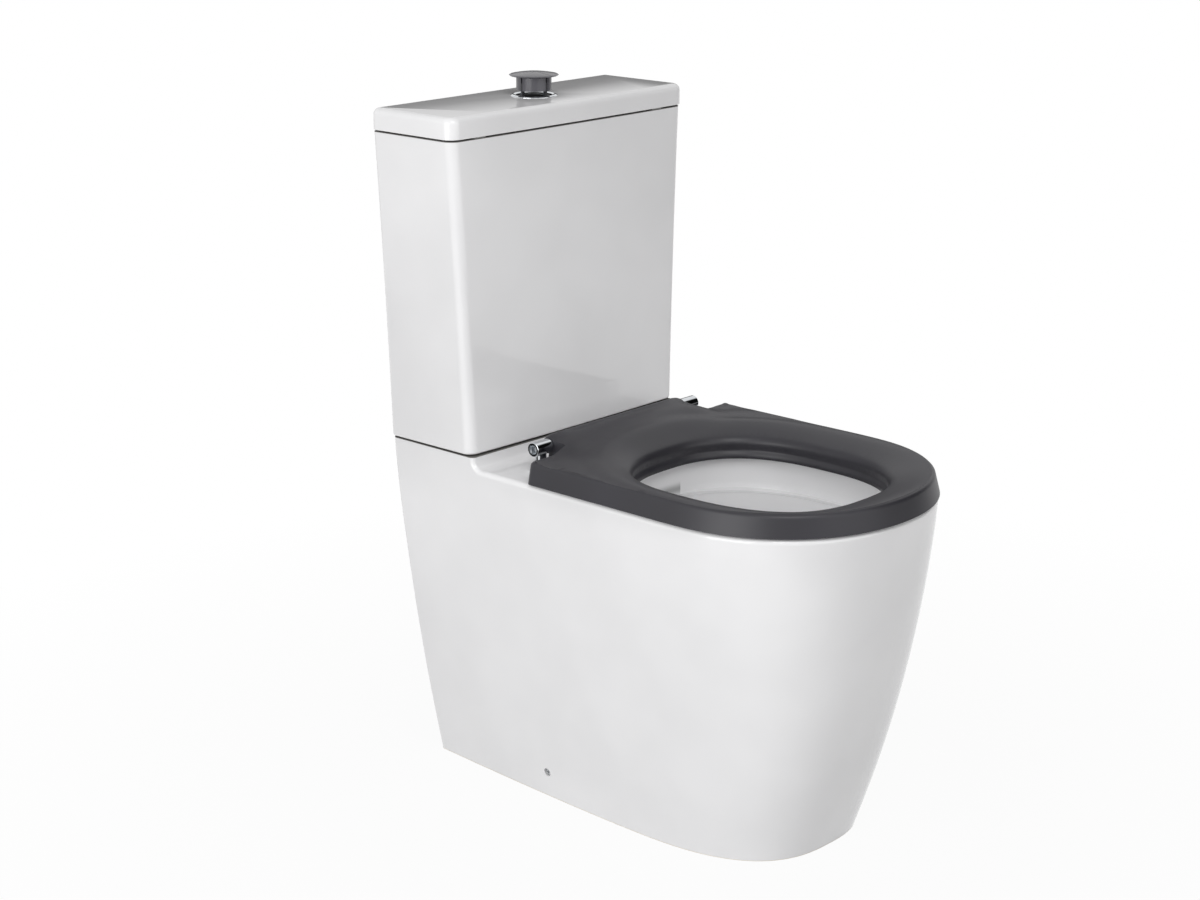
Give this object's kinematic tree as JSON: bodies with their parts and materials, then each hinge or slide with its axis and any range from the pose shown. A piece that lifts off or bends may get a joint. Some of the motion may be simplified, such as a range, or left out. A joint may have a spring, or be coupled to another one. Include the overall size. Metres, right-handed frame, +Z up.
{
  "type": "close coupled toilet",
  "caption": "Close-coupled toilet: back-to-wall pan, slim cistern with lid, open seat ring on barrel hinges and a raised dual flush button.",
  "frame": {"origin": "on the floor, at the middle of the suite's width and of its depth from wall to seat tip", "axes": "+Z up, +Y towards the wall behind, -Y towards the front of the seat, +X to the left hand of someone sitting on it"},
  "size_m": [0.4202, 0.658, 0.895],
  "materials": {
    "ceramic": "gloss white glaze",
    "seat": "satin anthracite thermoset",
    "button": "satin anthracite",
    "button_guide": "matt dark",
    "chrome": "polished",
    "steel": "plain stainless",
    "rubber": "matt black",
    "seal_rubber": "matt",
    "pad_rubber": "matt pale grey",
    "nut_plastic": "natural nylon",
    "valve_white": "satin white",
    "valve_grey": "satin grey",
    "valve_blue": "satin blue"
  },
  "bodies": {
    "toilet": {"pan": "ceramic", "cistern": "ceramic", "cistern_lid": "ceramic", "floor_brackets": "nut_plastic", "side_bushes": "nut_plastic", "side_screws": "steel", "hinge_barrels": "chrome", "hinge_pins": "steel", "hinge_studs": "steel", "hinge_cone_washers": "seal_rubber", "hinge_wing_nuts": "nut_plastic", "lid_pads": "pad_rubber", "cistern_pads": "pad_rubber", "coupling_seal": "seal_rubber", "cistern_bolts": "steel", "bolt_washers": "seal_rubber", "cistern_wing_nuts": "nut_plastic", "button_carrier": "button_guide", "button_ring": "chrome", "button_nut": "nut_plastic", "flush_valve_base": "valve_white", "flush_valve_tower": "valve_white", "flush_valve_head": "valve_blue", "lever_pins": "steel", "flush_valve_nut": "valve_white", "fill_valve_body": "valve_white", "fill_valve_cap": "valve_blue", "fill_arm_pin": "steel", "float_stop": "valve_blue", "inlet_washer": "seal_rubber", "inlet_nut": "nut_plastic"},
    "seat": {"seat_ring": "seat", "seat_buffers": "rubber"},
    "full_button": {"full_flush_button": "button", "full_flush_rod": "valve_grey"},
    "half_button": {"half_flush_button": "button", "half_flush_rod": "valve_grey"},
    "full_lever": {"full_flush_lever": "valve_grey"},
    "half_lever": {"half_flush_lever": "valve_grey"},
    "valve_core": {"overflow_tube": "valve_white", "flush_seal": "seal_rubber", "flush_float": "valve_white", "lift_yoke": "valve_blue"},
    "fill_float": {"fill_valve_float": "valve_grey", "fill_float_rod": "valve_white"},
    "fill_arm": {"fill_valve_arm": "valve_grey"}
  },
  "joints": [
    {"name": "seat_hinge", "type": "hinge", "parent": "toilet", "child": "seat", "pos_m": [0, 0.118, 0.4635], "axis": [-1, 0, 0], "range_deg": [0, 98]},
    {"name": "full_button_press", "type": "slide", "parent": "toilet", "child": "full_button", "axis": [0, 0, -1], "range_m": [0, 0.006], "stiffness_N_per_m": 250, "springref_m": -0.004},
    {"name": "half_button_press", "type": "slide", "parent": "toilet", "child": "half_button", "axis": [0, 0, -1], "range_m": [0, 0.006], "stiffness_N_per_m": 250, "springref_m": -0.004},
    {"name": "full_lever_turn", "type": "hinge", "parent": "toilet", "child": "full_lever", "pos_m": [-0.001, 0.249, 0.732], "axis": [0, 1, 0], "range_deg": [0, 31]},
    {"name": "half_lever_turn", "type": "hinge", "parent": "toilet", "child": "half_lever", "pos_m": [0.001, 0.265, 0.732], "axis": [0, -1, 0], "range_deg": [0, 31]},
    {"name": "core_lift", "type": "slide", "parent": "toilet", "child": "valve_core", "axis": [0, 0, 1], "range_m": [0, 0.0085]},
    {"name": "float_rise", "type": "slide", "parent": "toilet", "child": "fill_float", "axis": [0, 0, 1], "range_m": [0, 0.024]},
    {"name": "float_arm_turn", "type": "hinge", "parent": "toilet", "child": "fill_arm", "pos_m": [-0.166, 0.257, 0.72], "axis": [0, -1, 0], "range_deg": [0, 29]}
  ],
  "couplings": [
    {"joint": "full_lever_turn", "follows": "full_button_press", "rad_per_m": 90},
    {"joint": "half_lever_turn", "follows": "half_button_press", "rad_per_m": 90},
    {"joint": "core_lift", "follows": "full_button_press", "ratio": 1.4},
    {"joint": "float_arm_turn", "follows": "float_rise", "rad_per_m": 21.05}
  ]
}
